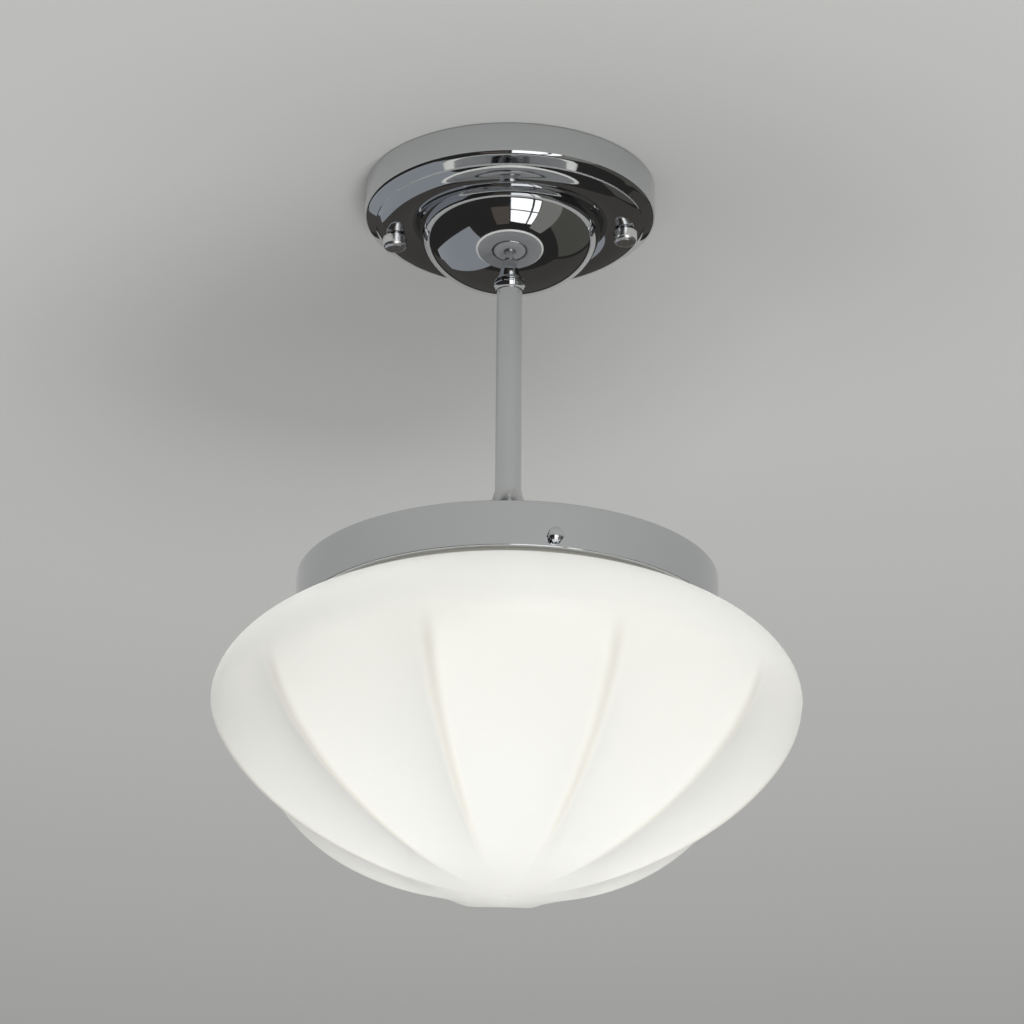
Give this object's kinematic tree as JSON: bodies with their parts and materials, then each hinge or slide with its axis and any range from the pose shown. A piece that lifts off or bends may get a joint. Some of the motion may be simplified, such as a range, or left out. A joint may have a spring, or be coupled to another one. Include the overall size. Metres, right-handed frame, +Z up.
{
  "type": "semi-flush ceiling light",
  "caption": "Ceiling light: chrome rose, short rod and gallery that holds a fluted opal glass bowl by thumb screws, with lampholder, lamp and wiring.",
  "frame": {"origin": "on the rod's axis, in the plane of the ceiling, where the plate and the rim of the rose lie against it", "axes": "+Z up into the ceiling, +X from the left rose nut to the right one, -Y towards the viewer"},
  "size_m": [0.22, 0.22, 0.2884],
  "materials": {
    "chrome": "polished",
    "plated_steel": "zinc plated",
    "brass": "plain",
    "opal_glass": "satin opal",
    "white_plastic": "matte",
    "holder_plastic": "gloss",
    "grommet_rubber": "matte",
    "brown_insulation": "satin",
    "blue_insulation": "satin",
    "green_insulation": "satin",
    "lamp_cap_metal": "nickel plated",
    "lamp_insulator": "gloss"
  },
  "bodies": {
    "fixture": {"ceiling_rose": "chrome", "rod_tube": "chrome", "rod_top_collar": "chrome", "rod_lower_collar": "chrome", "gallery": "chrome", "screw_bosses": "chrome", "mounting_plate": "plated_steel", "mounting_studs": "plated_steel", "stud_lock_nuts": "plated_steel", "earth_screw": "plated_steel", "earth_washer": "plated_steel", "terminal_block_screw": "plated_steel", "rod_top_washer": "plated_steel", "rod_top_locknut": "plated_steel", "rod_lower_washer": "plated_steel", "rod_lower_locknut": "plated_steel", "terminal_clamp_screws": "plated_steel", "earth_tag": "brass", "terminal_tubes": "brass", "holder_posts": "brass", "thread_sleeve": "brass", "spring_contact": "brass", "terminal_block": "white_plastic", "holder_cap": "holder_plastic", "holder_skirt": "holder_plastic", "holder_insert": "holder_plastic", "cable_grommet": "grommet_rubber", "live_lead": "brown_insulation", "neutral_lead": "blue_insulation", "earth_lead": "green_insulation"},
    "shade": {"glass_shade": "opal_glass"},
    "lamp_contact": {"lamp_tip": "brass"},
    "lamp": {"lamp_insulator": "lamp_insulator", "lamp_cap": "lamp_cap_metal", "lamp_body": "white_plastic", "lamp_globe": "white_plastic"},
    "washer_left": {"nut_washer_left": "chrome"},
    "nut_left": {"rose_nut_left": "chrome"},
    "washer_right": {"nut_washer_right": "chrome"},
    "nut_right": {"rose_nut_right": "chrome"},
    "tip_1": {"nylon_tip_1": "white_plastic"},
    "screw_1": {"thumb_screw_1": "chrome"},
    "tip_2": {"nylon_tip_2": "white_plastic"},
    "screw_2": {"thumb_screw_2": "chrome"},
    "tip_3": {"nylon_tip_3": "white_plastic"},
    "screw_3": {"thumb_screw_3": "chrome"}
  },
  "joints": [
    {"name": "shade_turn", "type": "hinge", "parent": "fixture", "child": "shade", "pos_m": [0, 0, -0.1735], "axis": [0, 0, 1], "continuous": true},
    {"name": "lamp_travel", "type": "slide", "parent": "fixture", "child": "lamp_contact", "axis": [0, 0, -1], "range_m": [0, 0.018]},
    {"name": "lamp_turn", "type": "hinge", "parent": "lamp_contact", "child": "lamp", "pos_m": [0, 0, -0.2], "axis": [0, 0, -1], "range_deg": [0, 1812]},
    {"name": "nut_travel_left", "type": "slide", "parent": "fixture", "child": "washer_left", "axis": [0, 0, -1], "range_m": [0, 0.004]},
    {"name": "nut_turn_left", "type": "hinge", "parent": "washer_left", "child": "nut_left", "pos_m": [-0.045, 0, -0.0216], "axis": [0, 0, -1], "range_deg": [0, 2070]},
    {"name": "nut_travel_right", "type": "slide", "parent": "fixture", "child": "washer_right", "axis": [0, 0, -1], "range_m": [0, 0.004]},
    {"name": "nut_turn_right", "type": "hinge", "parent": "washer_right", "child": "nut_right", "pos_m": [0.045, 0, -0.0216], "axis": [0, 0, -1], "range_deg": [0, 2070]},
    {"name": "screw_travel_1", "type": "slide", "parent": "fixture", "child": "tip_1", "axis": [0.2807, -0.9598, 0], "range_m": [0, 0.005]},
    {"name": "screw_turn_1", "type": "hinge", "parent": "tip_1", "child": "screw_1", "pos_m": [0.02245, -0.07678, -0.17835], "axis": [0.2807, -0.9598, 0], "range_deg": [0, 2585]},
    {"name": "screw_travel_2", "type": "slide", "parent": "fixture", "child": "tip_2", "axis": [0.6909, 0.723, 0], "range_m": [0, 0.005]},
    {"name": "screw_turn_2", "type": "hinge", "parent": "tip_2", "child": "screw_2", "pos_m": [0.05527, 0.05784, -0.17835], "axis": [0.6909, 0.723, 0], "range_deg": [0, 2585]},
    {"name": "screw_travel_3", "type": "slide", "parent": "fixture", "child": "tip_3", "axis": [-0.9715, 0.2368, 0], "range_m": [0, 0.005]},
    {"name": "screw_turn_3", "type": "hinge", "parent": "tip_3", "child": "screw_3", "pos_m": [-0.07772, 0.01895, -0.17835], "axis": [-0.9715, 0.2368, 0], "range_deg": [0, 2585]}
  ],
  "couplings": [
    {"joint": "lamp_turn", "follows": "lamp_travel", "rad_per_m": 1745.3},
    {"joint": "nut_turn_left", "follows": "nut_travel_left", "rad_per_m": 8976},
    {"joint": "nut_turn_right", "follows": "nut_travel_right", "rad_per_m": 8976},
    {"joint": "screw_turn_1", "follows": "screw_travel_1", "rad_per_m": 8976},
    {"joint": "screw_turn_2", "follows": "screw_travel_2", "rad_per_m": 8976},
    {"joint": "screw_turn_3", "follows": "screw_travel_3", "rad_per_m": 8976}
  ]
}
